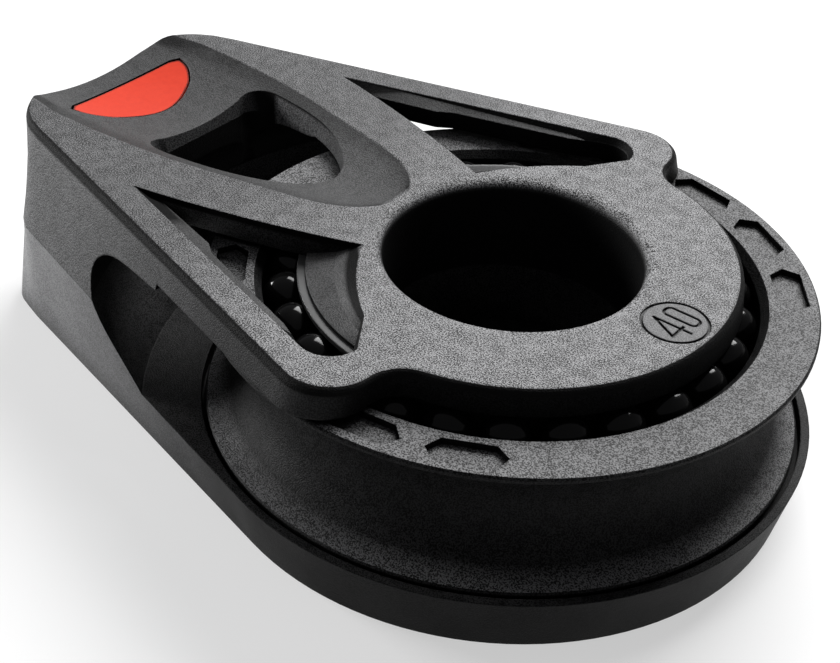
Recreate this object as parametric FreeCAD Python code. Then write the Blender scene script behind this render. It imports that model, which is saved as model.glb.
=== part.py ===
import FreeCAD, Part
import math
import os

# Sailing cheek block with a 40 mm ball-bearing sheave. Millimetres. The origin is on the sheave's
# axis at the deck face, +Z is up off the deck, +X points from the head to the nose.

# Sheave, sized by its flange, with the rope groove and both outer races
SHEAVE_R = 20.0
SHEAVE_MID_Z = 8.4
SHEAVE_HALF_H = 4.65
ROPE_GROOVE_DEPTH = 3.4
GROOVE_FLOOR_WALL = 0.4
RIM_THICKNESS = 0.45
RIM_EDGE = 0.12
MOUTH_CHAMFER = 0.5
POCKET_PITCH_DEG = 20.0
POCKET_FIRST_DEG = -62.5
POCKET_DEPTH = 0.45
POCKET_RIM_GAP = 0.65
POCKET_WIDTH = 2.05
POCKET_HALF_DEG = 5.4
POCKET_TIP_DEG = 7.7

# Ball bearing: two rows of loose balls between the sheave and an inner ring each
BALL_D = 3.175
BALL_GAP = 0.3
GROOVE_CLEARANCE = 0.07
BALL_RISE = 3.1
INNER_LIP = 0.6
OUTER_LIP = 0.35
RACE_WALL = 0.94
RACE_FIT = 0.05
RACE_LIP_PLAY = 0.02

# Hub that carries the inner rings, and the bore over the two hub screws
HUB_WALL = 3.45
HUB_FLOOR_Z = 3.6
HUB_SHOULDER = 1.5
BORE_RIM_R = 0.9

# Cheek: top plate, ring and ears
SHEAVE_SIDE_GAP = 0.35
CHEEK_THICKNESS = 1.8
RING_OVERHANG = 0.25
RING_DRAFT = 0.2
EAR_X = -1.5
EAR_R = 3.3
NOTCH_FILLET_R = 2.4
TOP_EDGE_R = 0.45
TOP_EDGE_STEPS = 4

# Plan outline: a round nose with straight sides that lean towards the rear
BOTTOM_SIDE_SLOPE = 0.262
SIDE_SLOPE = 0.303
NOSE_OVERHANG = 1.96
SIDE_LEAN = 2.6
HEAD_LENGTH = 18.6
REAR_BULGE = 0.8
REAR_CORNER_R = 3.0
PARTING_Z = 9.1

# Recess round the lower flange, and the rope passage through the head
RECESS_CLEARANCE = 0.3
RECESS_GAP = 0.65
LIP_OVERLAP = 0.35
PASSAGE_FOOT = 4.2
PASSAGE_REACH = 7.75
PASSAGE_ROOF = 1.6
BLOCK_OVERLAP = 4.0

# Scoop in the spine, and the opening over the head screw
SCOOP_HALF_Y = 7.9
SCOOP_DEPTH = 1.62
SCOOP_START_GAP = 0.25
OPENING_LENGTH = 12.2
OPENING_HALF_Y = 5.55
OPENING_FRONT_REACH = 9.3
OPENING_REAR_FLARE = 0.8
OPENING_SIDE_FLARE = 0.25

# Side windows and the skirt that fans out from the hub into them
ARM_WIDTH = 2.7
WINDOW_END_X = -2.75
WINDOW_END_R = 1.75
WINDOW_LENGTH = 20.3
WINDOW_BEVEL = 0.5
WINDOW_BEVEL_DEPTH = 0.5
SPINE_FRONT_X = -6.6
SPINE_FRONT_HALF_Y = 5.7
SPINE_BOW = 0.45
SKIRT_EDGE = 0.2
SKIRT_WALL = 0.35
SKIRT_MIDDLE = 0.55

# Mounting holes for 4 mm countersunk screws
SCREW_HOLE_R = 2.15
SCREW_HEAD_R = 3.8
HUB_SCREW_WALL = 0.25
HEAD_SCREW_BEHIND = 4.6

# Assembly screws
HEAD_ASSEMBLY_INSET = 5.4
HEAD_ASSEMBLY_Y = 5.6
ASSEMBLY_HEAD_R = 1.75
ASSEMBLY_SHANK_R = 1.0
ASSEMBLY_HOLE_CLEARANCE = 0.1
THREAD_FIT = 0.02
COUNTERBORE_DEPTH = 2.0
ASSEMBLY_HEAD_H = 1.3
ASSEMBLY_HEAD_ROUND = 0.35
CROSS_HALF_LENGTH = 0.95
CROSS_HALF_WIDTH = 0.25
CROSS_DEPTH = 0.7
SCREW_TIP = 0.8
HUB_SCREW_COVER = 2.2
HEAD_SCREW_COVER = 2.8

# Cores under the head, which keep its walls even
CORE_LENGTH = 5.6
CORE_HEIGHT = 5.6
CORE_INSET = 2.0
CORE_ROUND = 0.5
INNER_CORE_Y = (0.6, 3.2)
OUTER_CORE_Y = (8.0, 9.4)

# Badge
BADGE_INSET = 3.1
BADGE_LENGTH = 4.4
BADGE_HALF_Y = 5.6
BADGE_RECESS_DEPTH = 0.45
BADGE_GAP = 0.12
BADGE_SUNK = 0.05
BADGE_BED = 0.02

# Size mark
MARK_R = 2.2
MARK_LINE = 0.2
MARK_DEPTH = 0.15
DIGIT_HALF_H = 1.3
DIGIT_WIDTH = 1.05

# Worked out from the sizes above
SHEAVE_TOP_Z = SHEAVE_MID_Z + SHEAVE_HALF_H
SHEAVE_LOW_Z = SHEAVE_MID_Z - SHEAVE_HALF_H
CHEEK_UNDER_Z = SHEAVE_TOP_Z + SHEAVE_SIDE_GAP
TOP_Z = CHEEK_UNDER_Z + CHEEK_THICKNESS
LIP_Z = SHEAVE_LOW_Z + LIP_OVERLAP
RECESS_FLOOR_Z = SHEAVE_LOW_Z - RECESS_GAP
RECESS_R = SHEAVE_R + RECESS_CLEARANCE
ROPE_GROOVE_R = SHEAVE_R - ROPE_GROOVE_DEPTH
BALL_REACH = BALL_D / 2 + GROOVE_CLEARANCE
BALL_PITCH_R = ROPE_GROOVE_R - GROOVE_FLOOR_WALL - BALL_REACH
BALL_Z = SHEAVE_MID_Z + BALL_RISE
BALL_COUNT = int(math.pi / math.asin((BALL_D + BALL_GAP) / 2 / BALL_PITCH_R))
SHEAVE_BORE_R = BALL_PITCH_R + OUTER_LIP
RACE_LIP_R = BALL_PITCH_R - INNER_LIP
RACE_LIP_TOP_Z = CHEEK_UNDER_Z - RACE_LIP_PLAY
RACE_BORE_R = BALL_PITCH_R - BALL_REACH - RACE_WALL
HUB_R = RACE_BORE_R - RACE_FIT
SHOULDER_R = HUB_R + HUB_SHOULDER
BORE_R = HUB_R - HUB_WALL
RING_TOP_R = BALL_PITCH_R + RING_OVERHANG
BOTTOM_NOSE_R = SHEAVE_R
PARTING_SIDE_Y = (SHEAVE_R + NOSE_OVERHANG) * math.hypot(1.0, SIDE_SLOPE)
TOP_SIDE_Y = PARTING_SIDE_Y - SIDE_LEAN
BOTTOM_REAR_X = -SHEAVE_R - HEAD_LENGTH
PARTING_REAR_X = BOTTOM_REAR_X - REAR_BULGE
TOP_REAR_X = BOTTOM_REAR_X - REAR_BULGE / 4
BLOCK_FRONT_X = -SHEAVE_R + BLOCK_OVERLAP
HEAD_SCREW_X = -SHEAVE_R - HEAD_SCREW_BEHIND
HUB_SCREW_Y = BORE_R - SCREW_HEAD_R - HUB_SCREW_WALL
HUB_ASSEMBLY_X = (BORE_R + HUB_R) / 2
HEAD_ASSEMBLY_X = BOTTOM_REAR_X + HEAD_ASSEMBLY_INSET
BADGE_REAR_X = TOP_REAR_X + BADGE_INSET
MARK_X = (BORE_R + BORE_RIM_R + RING_TOP_R) / 2

BIG = 100.0
UP = FreeCAD.Vector(0, 0, 1)
ORIGIN = FreeCAD.Vector(0, 0, 0)


def vec(x, y, z=0.0):
    return FreeCAD.Vector(x, y, z)


def line(a, b):
    return Part.makeLine(a, b)


def arc(a, middle, b):
    return Part.Arc(a, middle, b).toShape()


def cylinder(radius, low, high, x=0.0, y=0.0):
    return Part.makeCylinder(radius, high - low, vec(x, y, low), UP)


def box(x0, x1, y0, y1, z0, z1):
    return Part.makeBox(x1 - x0, y1 - y0, z1 - z0, vec(x0, y0, z0))


def polyline_edges(points):
    return [line(a, b) for a, b in zip(points, points[1:])]


def revolve(edges):
    face = Part.Face(Part.Wire(edges))
    return face.revolve(ORIGIN, UP, 360)


def spline_edge(points):
    curve = Part.BSplineCurve()
    curve.interpolate(points)
    return curve.toShape()


def mirror_y(shape):
    return shape.mirror(ORIGIN, vec(0, 1, 0))


def mirror_about_sheave(shape):
    return shape.mirror(vec(0, 0, SHEAVE_MID_Z), UP)


def nose_radius(side_y, slope):
    return side_y / math.hypot(1.0, slope)


def corner_points(side_y, slope, rear_x, inset=0.0):
    """Start, middle and end of the rounded rear corner on the +Y side."""
    centre_x = rear_x + REAR_CORNER_R
    centre_y = side_y + slope * centre_x - REAR_CORNER_R * math.hypot(1.0, slope)
    radius = REAR_CORNER_R - inset
    side_angle = math.pi / 2 + math.atan(slope)
    middle_angle = (side_angle + math.pi) / 2
    points = []
    for angle in (side_angle, middle_angle, math.pi):
        points.append((centre_x + radius * math.cos(angle), centre_y + radius * math.sin(angle)))
    return points


def body_outline(side_y, slope, rear_x, z):
    """Closed outline with a round nose, leaning sides and rounded rear corners."""
    radius = nose_radius(side_y, slope)
    tangent_angle = math.pi / 2 + math.atan(slope)
    tx = radius * math.cos(tangent_angle)
    ty = radius * math.sin(tangent_angle)
    start, middle, end = corner_points(side_y, slope, rear_x)
    edges = [
        arc(vec(tx, -ty, z), vec(radius, 0, z), vec(tx, ty, z)),
        line(vec(tx, ty, z), vec(start[0], start[1], z)),
        arc(vec(start[0], start[1], z), vec(middle[0], middle[1], z), vec(end[0], end[1], z)),
        line(vec(end[0], end[1], z), vec(end[0], -end[1], z)),
        arc(vec(end[0], -end[1], z), vec(middle[0], -middle[1], z), vec(start[0], -start[1], z)),
        line(vec(start[0], -start[1], z), vec(tx, -ty, z)),
    ]
    return Part.Wire(edges)


def upper_share(z):
    """How far a height lies from the parting line, 0, to the top face, 1."""
    return (z - PARTING_Z) / (TOP_Z - PARTING_Z)


def side_y_at(z):
    """Side line's offset at a height in the leaning upper half."""
    return PARTING_SIDE_Y + (TOP_SIDE_Y - PARTING_SIDE_Y) * upper_share(z)


def rear_x_at(z):
    return PARTING_REAR_X + (TOP_REAR_X - PARTING_REAR_X) * upper_share(z)


def block_outline(z):
    """Head outline, cut off square in front of the rope passage."""
    side_y = side_y_at(z)
    start, middle, end = corner_points(side_y, SIDE_SLOPE, rear_x_at(z))
    front_y = side_y + SIDE_SLOPE * BLOCK_FRONT_X
    edges = [
        line(vec(BLOCK_FRONT_X, -front_y, z), vec(BLOCK_FRONT_X, front_y, z)),
        line(vec(BLOCK_FRONT_X, front_y, z), vec(start[0], start[1], z)),
        arc(vec(start[0], start[1], z), vec(middle[0], middle[1], z), vec(end[0], end[1], z)),
        line(vec(end[0], end[1], z), vec(end[0], -end[1], z)),
        arc(vec(end[0], -end[1], z), vec(middle[0], -middle[1], z), vec(start[0], -start[1], z)),
        line(vec(start[0], -start[1], z), vec(BLOCK_FRONT_X, -front_y, z)),
    ]
    return Part.Wire(edges)


def plate_outline(z, inset=0.0):
    """Head, arms, ears and ring in one outline, with the notch between ear and ring filleted."""
    side_y = side_y_at(z)
    ring_r = RING_TOP_R + RING_DRAFT * (TOP_Z - z) / (TOP_Z - CHEEK_UNDER_Z)
    ear_y = side_y + SIDE_SLOPE * EAR_X - EAR_R * math.hypot(1.0, SIDE_SLOPE)
    side_angle = math.pi / 2 + math.atan(SIDE_SLOPE)
    ear_r = EAR_R - inset
    notch_r = NOTCH_FILLET_R + inset
    tangent = (EAR_X + ear_r * math.cos(side_angle), ear_y + ear_r * math.sin(side_angle))
    span = math.hypot(EAR_X, ear_y)
    to_ring = ring_r + NOTCH_FILLET_R
    to_ear = EAR_R + NOTCH_FILLET_R
    along = (span ** 2 + to_ring ** 2 - to_ear ** 2) / (2 * span)
    off = math.sqrt(to_ring ** 2 - along ** 2)
    unit_x, unit_y = EAR_X / span, ear_y / span
    notch = (along * unit_x + off * unit_y, along * unit_y - off * unit_x)
    ring_share = (ring_r - inset) / to_ring
    on_ring = (notch[0] * ring_share, notch[1] * ring_share)
    on_ear = (notch[0] + (EAR_X - notch[0]) * notch_r / to_ear,
              notch[1] + (ear_y - notch[1]) * notch_r / to_ear)
    ear_middle_angle = (side_angle + math.atan2(on_ear[1] - ear_y, on_ear[0] - EAR_X)) / 2
    ear_middle = (EAR_X + ear_r * math.cos(ear_middle_angle),
                  ear_y + ear_r * math.sin(ear_middle_angle))
    mid_x = (on_ring[0] + on_ear[0]) / 2 - notch[0]
    mid_y = (on_ring[1] + on_ear[1]) / 2 - notch[1]
    scale = notch_r / math.hypot(mid_x, mid_y)
    notch_middle = (notch[0] + mid_x * scale, notch[1] + mid_y * scale)
    start, middle, end = corner_points(side_y, SIDE_SLOPE, rear_x_at(z), inset)
    upper = [end, middle, start, tangent, ear_middle, on_ear, notch_middle, on_ring]
    high = [vec(x, y, z) for x, y in upper]
    low = [vec(x, -y, z) for x, y in upper]
    edges = [
        line(low[0], high[0]),
        arc(high[0], high[1], high[2]),
        line(high[2], high[3]),
        arc(high[3], high[4], high[5]),
        arc(high[5], high[6], high[7]),
        arc(high[7], vec(ring_r - inset, 0, z), low[7]),
        arc(low[7], low[6], low[5]),
        arc(low[5], low[4], low[3]),
        line(low[3], low[2]),
        arc(low[2], low[1], low[0]),
    ]
    return Part.Wire(edges)


def cheek_plate():
    """Upper plate with its leaning sides and a rounded top edge."""
    sections = [plate_outline(CHEEK_UNDER_Z)]
    for step in range(TOP_EDGE_STEPS + 1):
        angle = math.pi / 2 * step / TOP_EDGE_STEPS
        z = TOP_Z - TOP_EDGE_R * (1.0 - math.sin(angle))
        sections.append(plate_outline(z, TOP_EDGE_R * (1.0 - math.cos(angle))))
    return Part.makeLoft(sections, True, True)


def rope_passage():
    """Space swept round the sheave, with the concave wall that guides the rope."""
    height = CHEEK_UNDER_Z - LIP_Z
    deep = PASSAGE_REACH - PASSAGE_FOOT
    shape = [(PASSAGE_FOOT, 0.0), (PASSAGE_FOOT + 0.4 * deep, 0.19),
             (PASSAGE_FOOT + 0.79 * deep, 0.37), (PASSAGE_REACH, 0.57),
             (PASSAGE_REACH, 0.74), (0.89 * PASSAGE_REACH, 0.86),
             (0.62 * PASSAGE_REACH, 0.935), (PASSAGE_ROOF, 1.0)]
    wall = [vec(SHEAVE_R + reach, 0, LIP_Z + share * height) for reach, share in shape]
    edges = [line(vec(0, 0, LIP_Z), wall[0]), spline_edge(wall),
             line(wall[-1], vec(0, 0, CHEEK_UNDER_Z)),
             line(vec(0, 0, CHEEK_UNDER_Z), vec(0, 0, LIP_Z))]
    return revolve(edges)


def scoop_section(x, half_width, depth):
    """Cross-section of the scoop: a shallow arc with straight sides above the top face."""
    above = TOP_Z + 2.0
    left = vec(x, -half_width, TOP_Z)
    right = vec(x, half_width, TOP_Z)
    high_left = vec(x, -half_width, above)
    high_right = vec(x, half_width, above)
    return Part.Wire([arc(left, vec(x, 0, TOP_Z - depth), right), line(right, high_right),
                      line(high_right, high_left), line(high_left, left)])


def scoop(lowered=0.0):
    """Hollow in the spine, deepest at the rear and blunt at the hub end."""
    rear_x = PARTING_REAR_X - 4.5
    front_x = -(BORE_R + BORE_RIM_R + SCOOP_START_GAP)
    # Share of the length from the rear, of the half width and of the depth
    shape = [(0.0, 1.0, 1.0), (0.233, 0.962, 0.926), (0.436, 0.924, 0.833), (0.64, 0.797, 0.679),
             (0.843, 0.601, 0.494), (0.953, 0.405, 0.309), (1.0, 0.165, 0.074)]
    stations = [scoop_section(rear_x + (front_x - rear_x) * along, SCOOP_HALF_Y * wide,
                              SCOOP_DEPTH * deep) for along, wide, deep in shape]
    solid = Part.makeLoft(stations, True, False)
    solid.translate(vec(0, 0, -lowered))
    return solid


def opening_wire(rear_flare, side_flare, z):
    """Rounded triangle over the head screw."""
    front_x = HEAD_SCREW_X + OPENING_FRONT_REACH
    # Share of the length from the front and of the half width
    shape = [(0.0, 0.0), (0.062, 0.31), (0.178, 0.558), (0.347, 0.77), (0.564, 0.92), (0.78, 1.0),
             (0.925, 0.995), (0.985, 0.9), (1.0, 0.68)]
    half = []
    for along, wide in shape:
        rearward = max(0.0, along - 0.78) / 0.22
        half.append((front_x - OPENING_LENGTH * along - rear_flare * rearward
                     + side_flare * (1.0 - along), OPENING_HALF_Y * wide + side_flare * min(1.0, 3 * wide)))
    upper = [vec(x, y, z) for x, y in half]
    lower = [vec(x, -y, z) for x, y in reversed(half)]
    if lower[-1].y == 0:
        lower[-1] = upper[0]
    return Part.Wire([spline_edge(upper), line(upper[-1], lower[0]), spline_edge(lower)])


def head_opening():
    """Shaft over the head screw, flared at the top, most of all along its rear edge."""
    return Part.makeLoft([opening_wire(0.0, 0.0, PARTING_Z - 1.0),
                          opening_wire(0.0, 0.0, TOP_Z - SCOOP_DEPTH - 0.4),
                          opening_wire(OPENING_REAR_FLARE, OPENING_SIDE_FLARE, TOP_Z + 0.2)],
                         True, True)


def window_wire(grow, z):
    """Side window on the +Y side: straight outer edge, round nose end, bowed spine edge."""
    outer_y = TOP_SIDE_Y - ARM_WIDTH + grow
    cos_side = 1.0 / math.hypot(1.0, SIDE_SLOPE)
    end_r = WINDOW_END_R + grow
    end_y = TOP_SIDE_Y - ARM_WIDTH + SIDE_SLOPE * WINDOW_END_X - WINDOW_END_R / cos_side
    side_angle = math.pi / 2 + math.atan(SIDE_SLOPE)
    tip_x = WINDOW_END_X - WINDOW_LENGTH - 1.5 * grow
    tip = vec(tip_x, outer_y + SIDE_SLOPE * tip_x, z)
    end_start = vec(WINDOW_END_X + end_r * math.cos(side_angle), end_y + end_r * math.sin(side_angle), z)
    end_middle = vec(WINDOW_END_X + end_r * math.cos(side_angle / 2),
                     end_y + end_r * math.sin(side_angle / 2), z)
    end_low = vec(WINDOW_END_X + end_r, end_y, z)
    spine_front = vec(SPINE_FRONT_X, SPINE_FRONT_HALF_Y, z)
    spine_middle = (spine_front + tip) * 0.5 + vec(0, SPINE_BOW, 0)
    return Part.Wire([line(tip, end_start), arc(end_start, end_middle, end_low),
                      line(end_low, spine_front), arc(spine_front, spine_middle, tip)])


def skirt_curve(share, z):
    """Edge of the skirt in plan, from its foot, 0, to where it meets the top face, 1."""
    low_r = SHOULDER_R
    high = [(BORE_R + BORE_RIM_R + SKIRT_WALL, 141.0),
            (0.45 * (BORE_R + BORE_RIM_R) + 0.55 * SHOULDER_R - 0.5, 116.0), (SHOULDER_R, 92.0)]
    low = [(low_r, 152.0), (low_r, 120.0), (low_r, 88.0)]
    points = []
    for (high_r, high_deg), (foot_r, foot_deg) in zip(high, low):
        radius = foot_r + (high_r - foot_r) * share
        angle = math.radians(foot_deg + (high_deg - foot_deg) * share)
        points.append(vec(radius * math.cos(angle), radius * math.sin(angle), z))
    return points


def skirt_section(share, z):
    start, middle, end = skirt_curve(share, z)
    centre = vec(0, 0, z)
    return Part.Wire([line(centre, start), arc(start, middle, end), line(end, centre)])


def hub_skirt():
    """Skirt that fans out from the hub's top edge down to the upper race."""
    edge_z = CHEEK_UNDER_Z + SKIRT_EDGE
    middle_z = edge_z + (TOP_Z - edge_z) * 0.4
    above_z = TOP_Z + 1.0
    return Part.makeLoft([skirt_section(0.0, CHEEK_UNDER_Z - 0.1), skirt_section(0.0, edge_z),
                          skirt_section(SKIRT_MIDDLE, middle_z), skirt_section(1.0, TOP_Z),
                          skirt_section(1.0, above_z)], True, True)


def side_window():
    """Window shaft with a bevelled upper edge, less the hub's skirt."""
    shaft = Part.makeLoft([window_wire(0.0, CHEEK_UNDER_Z - 1.4),
                           window_wire(0.0, TOP_Z - WINDOW_BEVEL_DEPTH),
                           window_wire(WINDOW_BEVEL, TOP_Z + 0.2)], True, True)
    return shaft.cut(hub_skirt())


def badge_wire(inset, z):
    rear_x = BADGE_REAR_X + inset
    front_x = BADGE_REAR_X + BADGE_LENGTH - inset
    half_y = BADGE_HALF_Y - 1.6 * inset
    corner = vec(rear_x + 0.35, half_y, z)
    shoulder = vec(rear_x, half_y - 0.6, z)
    low_corner = vec(rear_x + 0.35, -half_y, z)
    low_shoulder = vec(rear_x, -(half_y - 0.6), z)
    front = [corner, vec(rear_x + 1.5, half_y - 0.35, z),
             vec(front_x - 1.0, half_y * 0.56, z), vec(front_x, 0, z),
             vec(front_x - 1.0, -half_y * 0.56, z), vec(rear_x + 1.5, -(half_y - 0.35), z),
             low_corner]
    return Part.Wire([line(low_shoulder, shoulder), line(shoulder, corner), spline_edge(front),
                      line(low_corner, low_shoulder)])


def badge_prism(inset):
    return Part.Face(badge_wire(inset, PARTING_Z)).extrude(vec(0, 0, TOP_Z + 2.0 - PARTING_Z))


def stroke(x0, y0, x1, y1):
    """One straight groove of the size mark, given in plan."""
    length = math.hypot(x1 - x0, y1 - y0)
    bar = box(-MARK_LINE / 2, length + MARK_LINE / 2, -MARK_LINE / 2, MARK_LINE / 2,
              TOP_Z - MARK_DEPTH, TOP_Z + 0.5)
    bar.rotate(ORIGIN, UP, math.degrees(math.atan2(y1 - y0, x1 - x0)))
    bar.translate(vec(x0, y0, 0))
    return bar


def tube(outer_r, inner_r, low, high, x=0.0, y=0.0):
    return cylinder(outer_r, low, high, x, y).cut(cylinder(inner_r, low - 1, high + 1, x, y))


def size_mark():
    """Circle with the plain sheave size, reading from the nose."""
    low = TOP_Z - MARK_DEPTH
    high = TOP_Z + 0.5
    marks = [tube(MARK_R, MARK_R - MARK_LINE, low, high, MARK_X, 0.0)]
    rear_x = MARK_X - DIGIT_HALF_H
    front_x = MARK_X + DIGIT_HALF_H
    bar_x = MARK_X + 0.47 * DIGIT_HALF_H
    stem_y = -0.35 * DIGIT_WIDTH
    tip_y = -1.3 * DIGIT_WIDTH
    marks.append(stroke(front_x, stem_y, rear_x, stem_y))
    marks.append(stroke(rear_x, stem_y, bar_x, tip_y))
    marks.append(stroke(bar_x, tip_y, bar_x, stem_y + 0.25 * DIGIT_WIDTH))
    zero_low = 0.25 * DIGIT_WIDTH
    zero_high = zero_low + DIGIT_WIDTH
    marks.append(rounded_box(rear_x, front_x, zero_low, zero_high, low, high, 0.45 * DIGIT_WIDTH).cut(
        rounded_box(rear_x + MARK_LINE, front_x - MARK_LINE, zero_low + MARK_LINE,
                    zero_high - MARK_LINE, low - 1, high + 1, 0.25 * DIGIT_WIDTH)))
    return marks


def rounded_box(x0, x1, y0, y1, z0, z1, corner_r):
    """Upright box with rounded vertical edges."""
    solid = box(x0, x1, y0, y1, z0, z1)
    upright = [e for e in solid.Edges if abs(e.tangentAt(e.FirstParameter).z) > 0.9]
    return solid.makeFillet(corner_r, upright)


def countersunk_hole(x, y, face_z):
    """Hole through the plate with a 90 degree seat for the screw's head."""
    seat_depth = SCREW_HEAD_R - SCREW_HOLE_R
    shank = cylinder(SCREW_HOLE_R, -1.0, face_z + 1.0, x, y)
    seat = Part.makeCone(SCREW_HOLE_R, SCREW_HEAD_R, seat_depth,
                         vec(x, y, face_z - seat_depth), UP)
    return shank.fuse(seat)


def base_moulding():
    lower = body_outline(BOTTOM_NOSE_R * math.hypot(1.0, BOTTOM_SIDE_SLOPE), BOTTOM_SIDE_SLOPE,
                         BOTTOM_REAR_X, 0.0)
    upper = body_outline(PARTING_SIDE_Y, SIDE_SLOPE, PARTING_REAR_X, PARTING_Z)
    body = Part.makeLoft([lower, upper], True, True)
    body = body.cut(rope_passage())
    body = body.cut(cylinder(RECESS_R, RECESS_FLOOR_Z, LIP_Z + 1.0))
    seat_z = 2 * SHEAVE_MID_Z - RACE_LIP_TOP_Z
    body = body.fuse(cylinder(SHOULDER_R, RECESS_FLOOR_Z - 0.5, seat_z))
    body = body.fuse(cylinder(HUB_R, RECESS_FLOOR_Z - 0.5, SHEAVE_MID_Z))
    body = body.cut(cylinder(BORE_R, HUB_FLOOR_Z, BIG))
    for y in (-HUB_SCREW_Y, HUB_SCREW_Y):
        body = body.cut(countersunk_hole(0.0, y, HUB_FLOOR_Z))
    body = body.cut(countersunk_hole(HEAD_SCREW_X, 0.0, LIP_Z))
    body = body.cut(cylinder(SCREW_HEAD_R, LIP_Z, PARTING_Z + 1.0, HEAD_SCREW_X, 0.0))
    for x, y, top in assembly_places():
        body = body.cut(cylinder(ASSEMBLY_HEAD_R + ASSEMBLY_HOLE_CLEARANCE, -1.0,
                                 COUNTERBORE_DEPTH, x, y))
        body = body.cut(cylinder(ASSEMBLY_SHANK_R + ASSEMBLY_HOLE_CLEARANCE, 0.0,
                                 PARTING_Z + 1.0, x, y))
    for core in underside_cores():
        body = body.cut(core)
    return body.removeSplitter()


def underside_cores():
    """Pockets moulded up into the head from below."""
    rear_x = BOTTOM_REAR_X + CORE_INSET
    cores = []
    for side in (-1.0, 1.0):
        for inner, outer in (INNER_CORE_Y, OUTER_CORE_Y):
            y0, y1 = sorted((side * inner, side * outer))
            core = box(rear_x, rear_x + CORE_LENGTH, y0, y1, -1.0, CORE_HEIGHT)
            upper = [e for e in core.Edges if e.BoundBox.ZMax > CORE_HEIGHT - 0.1]
            cores.append(core.makeFillet(CORE_ROUND, [e for e in upper if e.BoundBox.ZMin < 0.0]))
    return cores


def assembly_places():
    """Plan position and top height of each assembly screw."""
    hub_top = TOP_Z - HUB_SCREW_COVER
    head_top = TOP_Z - HEAD_SCREW_COVER
    return [(HUB_ASSEMBLY_X, 0.0, hub_top), (-HUB_ASSEMBLY_X, 0.0, hub_top),
            (HEAD_ASSEMBLY_X, HEAD_ASSEMBLY_Y, head_top), (HEAD_ASSEMBLY_X, -HEAD_ASSEMBLY_Y, head_top)]


def cheek_moulding():
    block = Part.makeLoft([block_outline(PARTING_Z), block_outline(CHEEK_UNDER_Z)], True, True)
    body = block.fuse(cheek_plate())
    body = body.cut(rope_passage())
    body = body.cut(scoop())
    body = body.cut(head_opening())
    window = side_window()
    body = body.cut(window)
    body = body.cut(mirror_y(window))
    body = body.fuse(cylinder(HUB_R, SHEAVE_MID_Z, CHEEK_UNDER_Z + 0.3))
    body = body.cut(cylinder(BORE_R, 0.0, BIG))
    bore_rim = [e for e in body.Edges
                if abs(e.BoundBox.ZMin - TOP_Z) < 0.001 and abs(e.BoundBox.ZMax - TOP_Z) < 0.001
                and abs(e.BoundBox.XMax - BORE_R) < 0.01]
    body = body.makeFillet(BORE_RIM_R, bore_rim)
    body = body.cut(badge_prism(0.0).common(scoop(BADGE_RECESS_DEPTH)))
    for x, y, top in assembly_places():
        body = body.cut(cylinder(ASSEMBLY_SHANK_R, 0.0, top, x, y))
    for groove in size_mark():
        body = body.cut(groove)
    return body.removeSplitter()


def badge_inlay():
    slab = badge_prism(BADGE_GAP).common(scoop(BADGE_RECESS_DEPTH - BADGE_BED))
    return slab.cut(scoop(BADGE_SUNK))


def groove_point(degrees):
    """Point on a race's groove, at an angle about the ball's centre."""
    angle = math.radians(degrees)
    return vec(BALL_PITCH_R + BALL_REACH * math.cos(angle), 0, BALL_Z + BALL_REACH * math.sin(angle))


def race_ring():
    """Inner race of the upper row: a groove with a lip over the balls."""
    lip_angle = 180.0 - math.degrees(math.acos(INNER_LIP / BALL_REACH))
    lip = groove_point(lip_angle)
    inner = groove_point(180.0)
    foot_z = (SHEAVE_MID_Z + 2.0 * BALL_Z) / 3.0 - BALL_D / 4.0
    edges = [arc(inner, groove_point((180.0 + lip_angle) / 2), lip),
             line(lip, vec(RACE_LIP_R, 0, RACE_LIP_TOP_Z)),
             line(vec(RACE_LIP_R, 0, RACE_LIP_TOP_Z), vec(RACE_BORE_R, 0, RACE_LIP_TOP_Z)),
             line(vec(RACE_BORE_R, 0, RACE_LIP_TOP_Z), vec(RACE_BORE_R, 0, foot_z)),
             line(vec(RACE_BORE_R, 0, foot_z), vec(inner.x, 0, foot_z)),
             line(vec(inner.x, 0, foot_z), inner)]
    return revolve(edges)


def sheave_half():
    """Upper half of the sheave, with the outer race and half of the rope groove."""
    foot_angle = -math.degrees(math.acos(OUTER_LIP / BALL_REACH))
    foot = groove_point(foot_angle)
    side = groove_point(0.0)
    mouth_r = side.x + MOUTH_CHAMFER
    rim_low_z = SHEAVE_TOP_Z - RIM_THICKNESS
    groove_top = vec(SHEAVE_R - RIM_EDGE, 0, rim_low_z)
    half_chord = groove_top.z - SHEAVE_MID_Z
    sag = groove_top.x - ROPE_GROOVE_R
    groove_r = (half_chord ** 2 + sag ** 2) / (2 * sag)
    centre_r = ROPE_GROOVE_R + groove_r
    half_angle = math.asin(half_chord / groove_r) / 2
    groove_mid = vec(centre_r - groove_r * math.cos(half_angle), 0,
                     SHEAVE_MID_Z + groove_r * math.sin(half_angle))
    corners = [side, vec(side.x, 0, SHEAVE_TOP_Z - MOUTH_CHAMFER), vec(mouth_r, 0, SHEAVE_TOP_Z),
               vec(SHEAVE_R - RIM_EDGE, 0, SHEAVE_TOP_Z), vec(SHEAVE_R, 0, SHEAVE_TOP_Z - RIM_EDGE),
               vec(SHEAVE_R, 0, rim_low_z + RIM_EDGE), groove_top]
    groove_floor = vec(ROPE_GROOVE_R, 0, SHEAVE_MID_Z)
    bore_middle = vec(SHEAVE_BORE_R, 0, SHEAVE_MID_Z)
    edges = [line(bore_middle, foot), arc(foot, groove_point(foot_angle / 2), side)]
    edges += polyline_edges(corners)
    edges += [arc(groove_top, groove_mid, groove_floor), line(groove_floor, bore_middle)]
    return revolve(edges)


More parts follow.
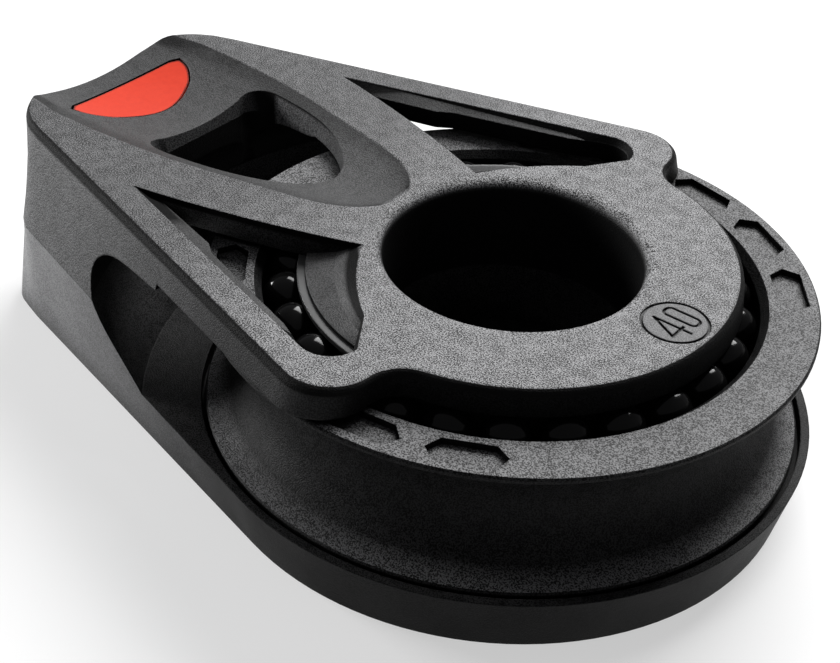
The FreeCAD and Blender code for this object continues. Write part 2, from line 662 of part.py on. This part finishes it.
def flange_pocket(centre_deg):
    """Six-sided recess with pointed ends."""
    outer_r = SHEAVE_R - POCKET_RIM_GAP
    inner_r = outer_r - POCKET_WIDTH
    middle_r = (inner_r + outer_r) / 2
    outline = [(inner_r, -POCKET_HALF_DEG), (inner_r, POCKET_HALF_DEG), (middle_r, POCKET_TIP_DEG),
               (outer_r, POCKET_HALF_DEG), (outer_r, -POCKET_HALF_DEG), (middle_r, -POCKET_TIP_DEG)]
    points = []
    for radius, offset in outline:
        angle = math.radians(centre_deg + offset)
        points.append(vec(radius * math.cos(angle), radius * math.sin(angle),
                          SHEAVE_TOP_Z - POCKET_DEPTH))
    face = Part.Face(Part.Wire(polyline_edges(points + points[:1])))
    return face.extrude(vec(0, 0, POCKET_DEPTH + 1.0))


def sheave():
    """Both halves, with two bare stretches between the groups of pockets."""
    half = sheave_half()
    count = round(360.0 / POCKET_PITCH_DEG)
    bare = (1, 2, 3, 4)
    pockets = []
    for index in range(count):
        if index % (count // 2) not in bare:
            pockets.append(flange_pocket(POCKET_FIRST_DEG + index * POCKET_PITCH_DEG))
    half = half.cut(Part.makeCompound(pockets))
    return half.fuse(mirror_about_sheave(half)).removeSplitter()


def ball_row():
    balls = []
    for index in range(BALL_COUNT):
        angle = 2 * math.pi * index / BALL_COUNT
        place = vec(BALL_PITCH_R * math.cos(angle), BALL_PITCH_R * math.sin(angle), BALL_Z)
        balls.append(Part.makeSphere(BALL_D / 2, place))
    return Part.makeCompound(balls)


def assembly_screw(x, y, top):
    """Pan-head thread-forming screw, driven from below, with a cross recess."""
    head_low = COUNTERBORE_DEPTH - ASSEMBLY_HEAD_H
    shank_r = ASSEMBLY_SHANK_R - THREAD_FIT
    tip_low = top - SCREW_TIP - 0.2
    screw = cylinder(ASSEMBLY_HEAD_R, head_low, COUNTERBORE_DEPTH, x, y)
    lower_rim = [e for e in screw.Edges if abs(e.BoundBox.ZMax - head_low) < 0.001]
    screw = screw.makeFillet(ASSEMBLY_HEAD_ROUND, lower_rim)
    screw = screw.fuse(cylinder(shank_r, COUNTERBORE_DEPTH - 0.3, tip_low, x, y))
    screw = screw.fuse(Part.makeCone(shank_r, 0.3 * shank_r, SCREW_TIP, vec(x, y, tip_low), UP))
    for half_x, half_y in ((CROSS_HALF_LENGTH, CROSS_HALF_WIDTH), (CROSS_HALF_WIDTH, CROSS_HALF_LENGTH)):
        screw = screw.cut(box(x - half_x, x + half_x, y - half_y, y + half_y, head_low - 0.5,
                              head_low + CROSS_DEPTH))
    return screw


def main():
    upper_race = race_ring()
    upper_balls = ball_row()
    places = assembly_places()
    parts = {
        "base_moulding": base_moulding(),
        "cheek_moulding": cheek_moulding(),
        "race_ring_upper": upper_race,
        "race_ring_lower": mirror_about_sheave(upper_race),
        "sheave": sheave(),
        "balls_upper": upper_balls,
        "balls_lower": mirror_about_sheave(upper_balls),
        "badge_inlay": badge_inlay(),
        "assembly_screw_hub_front": assembly_screw(*places[0]),
        "assembly_screw_hub_rear": assembly_screw(*places[1]),
        "assembly_screw_head_left": assembly_screw(*places[2]),
        "assembly_screw_head_right": assembly_screw(*places[3]),
    }
    os.makedirs("parts", exist_ok=True)
    for name, shape in parts.items():
        print(name, "valid", shape.isValid(), "solids", len(shape.Solids), "faces", len(shape.Faces),
              "volume %.1f" % shape.Volume)
        shape.exportStep("parts/" + name + ".step")


main()
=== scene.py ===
import math

import bmesh
import bpy
from mathutils import Matrix, Vector


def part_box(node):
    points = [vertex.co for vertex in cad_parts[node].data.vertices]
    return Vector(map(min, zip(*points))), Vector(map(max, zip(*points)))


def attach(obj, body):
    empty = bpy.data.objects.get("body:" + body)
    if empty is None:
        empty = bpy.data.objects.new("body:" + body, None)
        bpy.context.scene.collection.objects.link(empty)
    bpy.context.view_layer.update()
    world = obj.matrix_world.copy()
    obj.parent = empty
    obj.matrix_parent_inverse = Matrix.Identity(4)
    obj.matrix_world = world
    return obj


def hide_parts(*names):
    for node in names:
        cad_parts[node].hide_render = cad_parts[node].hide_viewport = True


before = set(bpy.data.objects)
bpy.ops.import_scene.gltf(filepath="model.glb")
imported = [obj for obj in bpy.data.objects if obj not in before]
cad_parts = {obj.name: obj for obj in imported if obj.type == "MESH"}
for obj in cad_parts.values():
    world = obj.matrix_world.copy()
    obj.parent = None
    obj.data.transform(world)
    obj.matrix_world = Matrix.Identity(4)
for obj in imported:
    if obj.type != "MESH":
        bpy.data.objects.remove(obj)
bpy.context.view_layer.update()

# A sailing cheek block in black moulded nylon. Metres, in the row's frame: +Z up off the deck,
# +X from the head to the nose, the sheave's axis at the origin.

MM = 0.001
TOP_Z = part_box("cheek_moulding")[1].z

# Camera, fitted to the block's straight edges and circles in the photograph
CAMERA_PLACE = Vector((47.68, -75.507, 72.682)) * MM
CAMERA_AZIMUTH = math.radians(35.946)
CAMERA_ELEVATION = math.radians(35.868)
CAMERA_ROLL = math.radians(3.45)
CAMERA_LENS_MM = 70.49
CAMERA_SENSOR_MM = 36.0

# Small curves that differ from the solids', in millimetres

# Rear corners of the head: height, the corner's X and Y, how far it is drawn in, and how far round
# it that reaches
REAR_CORNERS = ((0.0, -38.6, 10.56, 0.3, 5.0), (9.1, -39.4, 11.0, 2.5, 7.5),
                (12.5, -39.05, 9.7, 1.7, 6.0), (15.2, -38.8, 8.6, 0.8, 4.2))

# Windows: the outer wall's line in plan, the height of the bevelled edge above it, and how far the
# wall comes in at places along X
WINDOW_WALL_Y = 17.645
WINDOW_SLOPE = 0.303
WINDOW_WALL_SLACK = 0.04
WINDOW_EDGE_HEIGHT = 0.4
WINDOW_BEVEL = ((-23.0, 0.0), (-21.0, 0.75), (-15.5, 0.9), (-14.5, 0.5), (-6.0, 0.4), (-4.0, 0.0))

# Badge: its rear edge, how far that bows towards the rear, and how far from it the bow is felt
BADGE_REAR_X = -35.7
BADGE_BOW = 1.1
BADGE_BOW_REACH = 2.7
BADGE_HALF_Y = 6.1
BADGE_LOW_Z = 12.0

# Planes that cut the flat walls finely enough to take those curves, and where the cuts end
HEAD_FRONT_X = -29.0
HEAD_CUTS_X = (-38.5, -37.0, -35.5, -34.0, -32.5, -31.0)
HEAD_CUTS_Y = (-10.5, -9.0, -7.5, -6.0, -4.5, -3.0, -1.5, 0.0, 1.5, 3.0, 4.5, 6.0, 7.5, 9.0, 10.5)
HEAD_CUTS_Z = (2.0, 4.0, 6.0, 7.6, 10.6, 12.0, 13.4)
WINDOW_FRONT_X = 0.0
WINDOW_CUTS_X = (-22.0, -21.0, -18.0, -15.5, -14.5, -10.0, -6.0, -5.0, -4.0)
SHARP_DEGREES = 28

# Places on the mouldings that have their own finish, or their own painted light such as the bore's
# rim
BORE_EDGE_R = 9.3 * MM
MARK_X = 12.07 * MM
MARK_R = 2.2 * MM
TOP_GRAIN = 0.095 * MM


class Nodes:
    """Short calls for a material's node tree."""

    def __init__(self, name):
        self.material = bpy.data.materials.new(name)
        self.material.use_nodes = True
        self.tree = self.material.node_tree
        self.tree.nodes.clear()
        self.coordinates = self.add("ShaderNodeTexCoord")

    def add(self, kind, **settings):
        node = self.tree.nodes.new(kind)
        for key, value in settings.items():
            setattr(node, key, value)
        return node

    def link(self, source, target):
        self.tree.links.new(source, target)

    def put(self, value, socket):
        """Links a socket, or sets a plain value."""
        if isinstance(value, bpy.types.NodeSocket):
            self.link(value, socket)
        else:
            socket.default_value = value

    def math(self, operation, first, second=0.0, clamp=False):
        node = self.add("ShaderNodeMath", operation=operation, use_clamp=clamp)
        self.put(first, node.inputs[0])
        self.put(second, node.inputs[1])
        return node.outputs[0]

    def band(self, value, low, high):
        """0 at low, 1 at high, clamped."""
        node = self.add("ShaderNodeMapRange", clamp=True)
        self.put(value, node.inputs["Value"])
        node.inputs["From Min"].default_value = low
        node.inputs["From Max"].default_value = high
        return node.outputs["Result"]

    def noise(self, size, detail=2.0, roughness=0.5):
        """Noise whose grain is about size metres across, fixed to the object."""
        node = self.add("ShaderNodeTexNoise")
        node.inputs["Scale"].default_value = 1.0 / size
        node.inputs["Detail"].default_value = detail
        node.inputs["Roughness"].default_value = roughness
        self.link(self.coordinates.outputs["Object"], node.inputs["Vector"])
        return node.outputs["Fac"]

    def mix(self, factor, first, second):
        node = self.add("ShaderNodeMix", data_type="RGBA")
        self.put(factor, node.inputs["Factor"])
        self.put(first, node.inputs["A"])
        self.put(second, node.inputs["B"])
        return node.outputs["Result"]

    def blend_value(self, factor, first, second):
        node = self.add("ShaderNodeMix", data_type="FLOAT")
        self.put(factor, node.inputs["Factor"])
        self.put(first, node.inputs["A"])
        self.put(second, node.inputs["B"])
        return node.outputs["Result"]

    def position(self):
        node = self.add("ShaderNodeSeparateXYZ")
        self.link(self.coordinates.outputs["Object"], node.inputs[0])
        return node.outputs

    def normal(self):
        node = self.add("ShaderNodeSeparateXYZ")
        self.link(self.coordinates.outputs["Normal"], node.inputs[0])
        return node.outputs

    def bump(self, height, strength, distance, normal=None):
        node = self.add("ShaderNodeBump")
        self.put(strength, node.inputs["Strength"])
        node.inputs["Distance"].default_value = distance
        self.link(height, node.inputs["Height"])
        if normal is not None:
            self.link(normal, node.inputs["Normal"])
        return node.outputs["Normal"]

    def rounded_edges(self, radius):
        node = self.add("ShaderNodeBevel", samples=6)
        node.inputs["Radius"].default_value = radius
        return node.outputs["Normal"]

    def near_edge(self, radius):
        """1 close to a sharp edge, 0 on flat parts."""
        turn = self.add("ShaderNodeVectorMath", operation="DOT_PRODUCT")
        self.link(self.rounded_edges(radius), turn.inputs[0])
        self.link(self.add("ShaderNodeNewGeometry").outputs["Normal"], turn.inputs[1])
        return self.band(turn.outputs["Value"], 0.99, 0.93)

    def surface(self, **values):
        """Principled shader with the given sockets, wired to the output."""
        shader = self.add("ShaderNodeBsdfPrincipled")
        for name, value in values.items():
            self.put(value, shader.inputs[name.replace("_", " ")])
        output = self.add("ShaderNodeOutputMaterial")
        self.link(shader.outputs[0], output.inputs[0])
        return self.material


def grey(value):
    """A very slightly blue grey, as the black plastic has."""
    return (value, value, value * 1.02, 1.0)


def speckle(nodes, grain):
    """Light flecks on a dark ground, 0 to 1, with a slow drift in their number."""
    fine = nodes.noise(grain, detail=1.0, roughness=0.6)
    patch = nodes.noise(grain * 9, detail=2.0)
    drift = nodes.math("MULTIPLY", patch, 0.2)
    shifted = nodes.math("ADD", fine, drift)
    return fine, nodes.band(shifted, 0.52, 0.67)


def from_axis(nodes, x=0.0):
    """Distance from an upright line through (x, 0)."""
    place = nodes.position()
    across = nodes.math("SUBTRACT", place["X"], x)
    squares = nodes.math("ADD", nodes.math("POWER", across, 2.0),
                         nodes.math("POWER", place["Y"], 2.0))
    return nodes.math("SQRT", squares)


def facing_axis(nodes, steep=True):
    """1 on faces turned to the sheave's axis, such as the bore's; steep leaves out level ones."""
    place = nodes.position()
    normal = nodes.normal()
    along_x = nodes.math("MULTIPLY", place["X"], normal["X"])
    along_y = nodes.math("MULTIPLY", place["Y"], normal["Y"])
    inward = nodes.band(nodes.math("ADD", along_x, along_y), -3.5 * MM, -6.0 * MM)
    if steep:
        return nodes.math("MULTIPLY", inward, nodes.band(normal["Z"], 0.5, 0.25))
    return inward


def painted_recess_shade(nodes, colour, reach, floor=0.12):
    """Darkens a colour with painted shade in recesses that are deep for their width; floor is what
    is left of it.
    """
    hollow = nodes.add("ShaderNodeAmbientOcclusion", samples=6)
    hollow.inputs["Distance"].default_value = reach
    openness = nodes.band(hollow.outputs["AO"], 0.3, 0.8)
    dark = nodes.mix(1.0 - floor, colour, grey(0.002))
    return nodes.mix(openness, dark, colour)


def painted_side_light(nodes, flecks, nose, head):
    """Colour of outer walls with painted light and shade, from the nose's two dark shades to the
    head's paler, lit ones.
    """
    near_nose = nodes.mix(flecks, grey(nose[0]), grey(nose[1]))
    near_head = nodes.mix(flecks, grey(head[0]), grey(head[1]))
    return nodes.mix(nodes.band(nodes.position()["X"], -8 * MM, -28 * MM), near_nose, near_head)


def cheek_nylon():
    """Cheek: sandy top face painted lighter as lit, darker sides and scoop painted as shaded, a
    painted shade line round the outer edge, and painted shade in the bore and in recesses.
    """
    nodes = Nodes("nylon_cheek")
    fine, flecks = speckle(nodes, TOP_GRAIN)
    height = nodes.position()["Z"]
    upward = nodes.normal()["Z"]
    outside = nodes.band(from_axis(nodes), BORE_EDGE_R + 0.3 * MM, BORE_EDGE_R + 0.8 * MM)
    on_top = nodes.band(height, TOP_Z - 0.05 * MM, TOP_Z - 0.01 * MM)
    # Painted shade: a black line along the rounded outer top edge, where the edge turns away from
    # the light.
    edge_band = nodes.math("MULTIPLY", nodes.band(height, TOP_Z - 0.62 * MM, TOP_Z - 0.42 * MM),
                           nodes.band(upward, 0.97, 0.9))
    in_edge = nodes.math("MULTIPLY", edge_band, outside)
    # Painted light and shade on the walls: near-black towards the nose, paler towards the lit head,
    # and sloped faces painted lighter than upright ones.
    wall = painted_side_light(nodes, flecks, (0.0015, 0.012), (0.03, 0.2))
    sloped = nodes.mix(flecks, grey(0.014), grey(0.06))
    side = nodes.mix(nodes.band(upward, 0.15, 0.75), wall, sloped)
    side = nodes.mix(in_edge, side, grey(0.004))
    # Painted shade: faces turned to the axis, such as the bore's wall, are painted near-black.
    cavity = facing_axis(nodes)
    side = nodes.mix(cavity, side, grey(0.005))
    in_mark = nodes.band(from_axis(nodes, MARK_X), MARK_R, MARK_R - 0.15 * MM)
    flat_part = nodes.math("SUBTRACT", 1.0, nodes.math("MULTIPLY", in_mark, 0.75))
    top_flecks = nodes.math("MULTIPLY", flecks, flat_part)
    raised = nodes.math("MULTIPLY", in_mark, 0.22)
    # Painted light: the top's flecks are paler towards the ring, where the lamp's sheen falls, and
    # darker towards the head.
    at_head = nodes.band(nodes.position()["X"], -5 * MM, -17 * MM)
    fleck_colour = nodes.mix(at_head, grey(0.33), grey(0.16))
    top = nodes.mix(nodes.math("ADD", top_flecks, raised), grey(0.006), fleck_colour)
    # The bore's rounded rim is given the top's painted lit colour too.
    inside = nodes.math("SUBTRACT", 1.0, outside)
    on_rim = nodes.math("MULTIPLY", inside, nodes.band(upward, 0.45, 0.8))
    on_top = nodes.math("MAXIMUM", on_top, on_rim)
    # Painted shade in recesses on the sides and scoop; the top face and bore rim take their
    # lighter, painted lit colour.
    colour = nodes.mix(on_top, painted_recess_shade(nodes, side, 4 * MM), top)
    bare = nodes.math("MAXIMUM", in_edge, cavity)
    near_nose = nodes.band(nodes.position()["X"], -24 * MM, -10 * MM)
    on_wall = nodes.math("MULTIPLY", nodes.band(upward, 0.75, 0.15), near_nose)
    bare = nodes.math("MAXIMUM", bare, on_wall)
    shine = nodes.blend_value(bare, 0.3, 0.05)
    rough = nodes.blend_value(on_top, 0.55, 0.42)
    strength = nodes.blend_value(nodes.math("MULTIPLY", on_top, flat_part), 0.6, 1.0)
    bump = nodes.bump(fine, strength, 0.08 * MM, nodes.rounded_edges(0.14 * MM))
    return nodes.surface(Base_Color=colour, Roughness=rough, Specular_IOR_Level=shine, Normal=bump)


def base_nylon():
    """Base: as the cheek's sides, with painted light and shade on its walls, painted shade on the
    deck under the rope and on faces turned to the axis, and painted shade in recesses.
    """
    nodes = Nodes("nylon_base")
    fine, flecks = speckle(nodes, TOP_GRAIN)
    cloud = nodes.noise(5 * MM, detail=3.0)
    # Painted light and shade: walls near-black at the nose and pale where the head is lit.
    colour = painted_side_light(nodes, flecks, (0.002, 0.012), (0.16, 0.34))
    # Painted shade: upward faces, such as the deck under the rope, and faces turned to the axis are
    # painted near-black.
    upward = nodes.band(nodes.normal()["Z"], 0.6, 0.9)
    inner = nodes.math("MAXIMUM", upward, facing_axis(nodes, steep=False))
    colour = nodes.mix(inner, colour, nodes.mix(flecks, grey(0.002), grey(0.03)))
    # Painted shade in recesses.
    colour = painted_recess_shade(nodes, colour, 4 * MM)
    near_nose = nodes.band(nodes.position()["X"], -28 * MM, -14 * MM)
    shine = nodes.blend_value(nodes.math("MAXIMUM", inner, near_nose), 0.3, 0.08)
    rough = nodes.blend_value(nodes.band(cloud, 0.35, 0.7), 0.48, 0.56)
    bump = nodes.bump(fine, 0.7, 0.04 * MM, nodes.rounded_edges(0.14 * MM))
    return nodes.surface(Base_Color=colour, Roughness=rough, Specular_IOR_Level=shine, Normal=bump)


def sheave_nylon():
    """Sheave: sandy flange faces painted lighter as lit, a groove painted dark as shaded, and
    painted shade in recesses such as under the cheek.
    """
    nodes = Nodes("nylon_sheave")
    fine, flecks = speckle(nodes, TOP_GRAIN)
    cloud = nodes.noise(3 * MM, detail=3.0)
    # Painted shade: the groove and other walls are painted near-black; upward flange faces are
    # painted lighter as lit, over their sandy grain.
    groove = nodes.mix(flecks, grey(0.001), grey(0.03))
    sandy = nodes.mix(flecks, grey(0.008), grey(0.2))
    upward = nodes.band(nodes.normal()["Z"], 0.8, 0.98)
    colour = nodes.mix(upward, groove, sandy)
    # Painted shade in recesses, such as the flange under the cheek.
    colour = painted_recess_shade(nodes, colour, 9 * MM, 0.03)
    shine = nodes.blend_value(upward, 0.07, 0.2)
    rough = nodes.blend_value(nodes.band(cloud, 0.35, 0.7), 0.46, 0.55)
    bump = nodes.bump(fine, 0.8, 0.05 * MM, nodes.rounded_edges(0.12 * MM))
    return nodes.surface(Base_Color=colour, Roughness=rough, Specular_IOR_Level=shine, Normal=bump)


def smooth_acetal():
    """Inner race rings."""
    nodes = Nodes("black_acetal")
    cloud = nodes.noise(1.5 * MM, detail=4.0)
    fine = nodes.noise(0.12 * MM, detail=2.0)
    colour = nodes.mix(cloud, grey(0.02), grey(0.045))
    rough = nodes.blend_value(cloud, 0.32, 0.44)
    normal = nodes.bump(fine, 0.25, 0.01 * MM, nodes.rounded_edges(0.1 * MM))
    return nodes.surface(Base_Color=colour, Roughness=rough, Normal=normal)


def polished_ball():
    """Black balls with small, sharp highlights."""
    nodes = Nodes("polished_ball")
    cloud = nodes.noise(0.8 * MM, detail=4.0)
    colour = nodes.mix(cloud, grey(0.002), grey(0.006))
    rough = nodes.blend_value(cloud, 0.1, 0.16)
    return nodes.surface(Base_Color=colour, Roughness=rough, Specular_IOR_Level=0.2)


def stainless_screw():
    """Assembly screws, with fine scratches."""
    nodes = Nodes("stainless_screw")
    scratch = nodes.noise(0.25 * MM, detail=5.0, roughness=0.7)
    colour = nodes.mix(scratch, grey(0.42), grey(0.6))
    rough = nodes.blend_value(scratch, 0.22, 0.42)
    normal = nodes.bump(scratch, 0.2, 0.01 * MM, nodes.rounded_edges(0.08 * MM))
    return nodes.surface(Base_Color=colour, Roughness=rough, Metallic=1.0, Normal=normal)


def badge_red():
    """Bare red badge with a black outline."""
    nodes = Nodes("badge_red")
    cloud = nodes.noise(0.5 * MM, detail=4.0, roughness=0.7)
    fine = nodes.noise(0.16 * MM, detail=2.0)
    colour = nodes.mix(cloud, (0.56, 0.03, 0.012, 1.0), (0.70, 0.05, 0.018, 1.0))
    colour = nodes.mix(nodes.near_edge(0.26 * MM), colour, grey(0.004))
    rough = nodes.blend_value(fine, 0.35, 0.5)
    normal = nodes.bump(fine, 0.15, 0.01 * MM)
    return nodes.surface(Base_Color=colour, Roughness=rough, Specular_IOR_Level=0.25, Normal=normal)


def dress(node_name, material):
    """Gives a frame node its finish."""
    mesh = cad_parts[node_name].data
    mesh.materials.clear()
    mesh.materials.append(material)


def between(rows, value):
    """The other numbers of a row at a value of its first, between the rows on each side."""
    if value <= rows[0][0]:
        return rows[0][1:]
    for low, high in zip(rows, rows[1:]):
        if value <= high[0]:
            share = (value - low[0]) / (high[0] - low[0])
            return [a + (b - a) * share for a, b in zip(low[1:], high[1:])]
    return rows[-1][1:]


def round_corner(place):
    """Draws a point near a rear corner in towards the head's middle."""
    corner_x, corner_y, depth, reach = [v * MM for v in between(REAR_CORNERS, place.z / MM)]
    side = 1.0 if place.y > 0 else -1.0
    away = math.hypot(place.x - corner_x, place.y - side * corner_y)
    if away < reach:
        share = (1.0 - (away / reach) ** 2) ** 2 * depth / math.sqrt(2.0)
        place.x += share
        place.y -= side * share


def widen_bevel(place):
    """Brings the side windows' outer walls in, below their bevelled upper edge."""
    wall_y = WINDOW_WALL_Y * MM + WINDOW_SLOPE * place.x
    on_wall = abs(abs(place.y) - wall_y) < WINDOW_WALL_SLACK * MM
    if on_wall and place.z < TOP_Z - WINDOW_EDGE_HEIGHT * MM:
        inward = between(WINDOW_BEVEL, place.x / MM)[0] * MM
        place.y -= math.copysign(inward, place.y)


def bow_badge(place):
    """Bows the rear edge of the badge, and of the recess round it."""
    from_edge = abs(place.x / MM - BADGE_REAR_X) / BADGE_BOW_REACH
    across = abs(place.y / MM) / BADGE_HALF_Y
    if from_edge < 1.0 and across < 1.0 and place.z > BADGE_LOW_Z * MM:
        place.x -= BADGE_BOW * MM * (1.0 - across ** 2) * (1.0 - from_edge ** 2)


def cut_along(mesh, axis, places, front_x):
    """Adds edges to a mesh where the planes cross it, behind front_x."""
    normal = Vector((0.0, 0.0, 0.0))
    normal[axis] = 1.0
    for place in places:
        near = [f for f in mesh.faces if any(v.co.x < front_x * MM for v in f.verts)]
        parts = list({e for f in near for e in f.edges}) + list({v for f in near for v in f.verts})
        bmesh.ops.bisect_plane(mesh, geom=parts + near, dist=1e-7, plane_co=normal * place * MM,
                               plane_no=normal)


def reshaped(node_name, material, changes):
    """Puts a copy of a node, with its small curves changed, in the node's place."""
    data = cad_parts[node_name].data.copy()
    mesh = bmesh.new()
    mesh.from_mesh(data)
    for axis, places in enumerate((HEAD_CUTS_X, HEAD_CUTS_Y, HEAD_CUTS_Z)):
        cut_along(mesh, axis, places, HEAD_FRONT_X)
    if widen_bevel in changes:
        cut_along(mesh, 0, WINDOW_CUTS_X, WINDOW_FRONT_X)
    for vertex in mesh.verts:
        for change in changes:
            change(vertex.co)
    mesh.to_mesh(data)
    mesh.free()
    if "custom_normal" in data.attributes:
        data.attributes.remove(data.attributes["custom_normal"])
    data.shade_smooth()
    data.set_sharp_from_angle(angle=math.radians(SHARP_DEGREES))
    data.materials.clear()
    data.materials.append(material)
    piece = bpy.data.objects.new(node_name + "_shell", data)
    bpy.context.scene.collection.objects.link(piece)
    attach(piece, "frame")
    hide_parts(node_name)


def camera_axes():
    """Right, up and back directions of the camera."""
    sin_a, cos_a = math.sin(CAMERA_AZIMUTH), math.cos(CAMERA_AZIMUTH)
    sin_e, cos_e = math.sin(CAMERA_ELEVATION), math.cos(CAMERA_ELEVATION)
    sin_r, cos_r = math.sin(CAMERA_ROLL), math.cos(CAMERA_ROLL)
    back = Vector((sin_a * cos_e, -cos_a * cos_e, sin_e))
    level_right = Vector((cos_a, sin_a, 0.0))
    level_up = back.cross(level_right)
    right = level_right * cos_r + level_up * sin_r
    up = level_up * cos_r - level_right * sin_r
    return right, up, back


def make_camera():
    """Camera at the photograph's place and angle."""
    data = bpy.data.cameras.new("camera")
    data.sensor_width = CAMERA_SENSOR_MM
    data.lens = CAMERA_LENS_MM
    data.clip_start = 0.001
    data.clip_end = 20.0
    camera = bpy.data.objects.new("camera", data)
    right, up, back = camera_axes()
    turn = Matrix((right, up, back)).transposed()
    camera.matrix_world = Matrix.Translation(CAMERA_PLACE) @ turn.to_4x4()
    bpy.context.scene.collection.objects.link(camera)
    bpy.context.scene.camera = camera


def area_lamp(name, place, target, size, watts):
    """A rectangular lamp at a place, turned to a target."""
    data = bpy.data.lights.new(name, "AREA")
    data.shape = "RECTANGLE"
    data.size = size[0]
    data.size_y = size[1]
    data.energy = watts
    lamp = bpy.data.objects.new(name, data)
    lamp.location = place
    aim = Vector(target) - Vector(place)
    lamp.rotation_euler = aim.to_track_quat("-Z", "Y").to_euler()
    bpy.context.scene.collection.objects.link(lamp)


def make_lights():
    """A large lamp behind the block, which lights its top, and a small low one at its left."""
    area_lamp("back", (-0.07, 0.35, 0.37), (0, 0, 0), (0.34, 0.28), 4.0)
    area_lamp("left", (-0.50, -0.09, 0.13), (-0.02, 0, 0.01), (0.18, 0.12), 2.4)


def pale_ray(tree):
    """1 for rays from the camera, in reflections and through glass, else 0."""
    path = tree.nodes.new("ShaderNodeLightPath")
    total = path.outputs["Is Camera Ray"]
    for kind in ("Is Glossy Ray", "Is Transmission Ray"):
        node = tree.nodes.new("ShaderNodeMath")
        node.operation = "MAXIMUM"
        tree.links.new(total, node.inputs[0])
        tree.links.new(path.outputs[kind], node.inputs[1])
        total = node.outputs[0]
    return total


def backdrop_material():
    """Pale floor that keeps a light shadow and throws little light back up."""
    nodes = Nodes("floor_pale")
    seen = pale_ray(nodes.tree)
    grain = nodes.noise(0.05, detail=2.0)
    pale = nodes.mix(grain, (0.46, 0.46, 0.46, 1.0), (0.48, 0.48, 0.48, 1.0))
    colour = nodes.mix(seen, (0.22, 0.22, 0.22, 1.0), pale)
    glow = nodes.math("MULTIPLY", seen, 0.52)
    return nodes.surface(Base_Color=colour, Roughness=0.9, Specular_IOR_Level=0.0,
                         Emission_Color=(1.0, 1.0, 1.0, 1.0), Emission_Strength=glow)


def make_floor():
    """A wide floor just under the deck face."""
    half = 3.0
    mesh = bpy.data.meshes.new("floor")
    corners = [(-half, -half, 0.0), (half, -half, 0.0), (half, half, 0.0), (-half, half, 0.0)]
    mesh.from_pydata(corners, [], [(0, 1, 2, 3)])
    mesh.materials.append(backdrop_material())
    floor = bpy.data.objects.new("floor", mesh)
    floor.location.z = -0.02 * MM
    bpy.context.scene.collection.objects.link(floor)


def make_world():
    """A dim, even surround."""
    world = bpy.data.worlds.new("studio")
    world.use_nodes = True
    surround = world.node_tree.nodes["Background"]
    surround.inputs["Color"].default_value = (0.16, 0.16, 0.165, 1.0)
    bpy.context.scene.world = world


def dress_nodes():
    """Gives every piece its finish, and three of them their changed curves."""
    reshaped("cheek_moulding", cheek_nylon(),
             (round_corner, widen_bevel, bow_badge))
    reshaped("base_moulding", base_nylon(), (round_corner,))
    dress("sheave", sheave_nylon())
    acetal = smooth_acetal()
    dress("race_ring_upper", acetal)
    dress("race_ring_lower", acetal)
    ball = polished_ball()
    dress("balls_upper", ball)
    dress("balls_lower", ball)
    reshaped("badge_inlay", badge_red(), (bow_badge,))
    screw = stainless_screw()
    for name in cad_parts:
        if name.startswith("assembly_screw"):
            dress(name, screw)


bpy.context.scene.view_settings.view_transform = "Standard"
dress_nodes()
make_camera()
make_lights()
make_world()
make_floor()
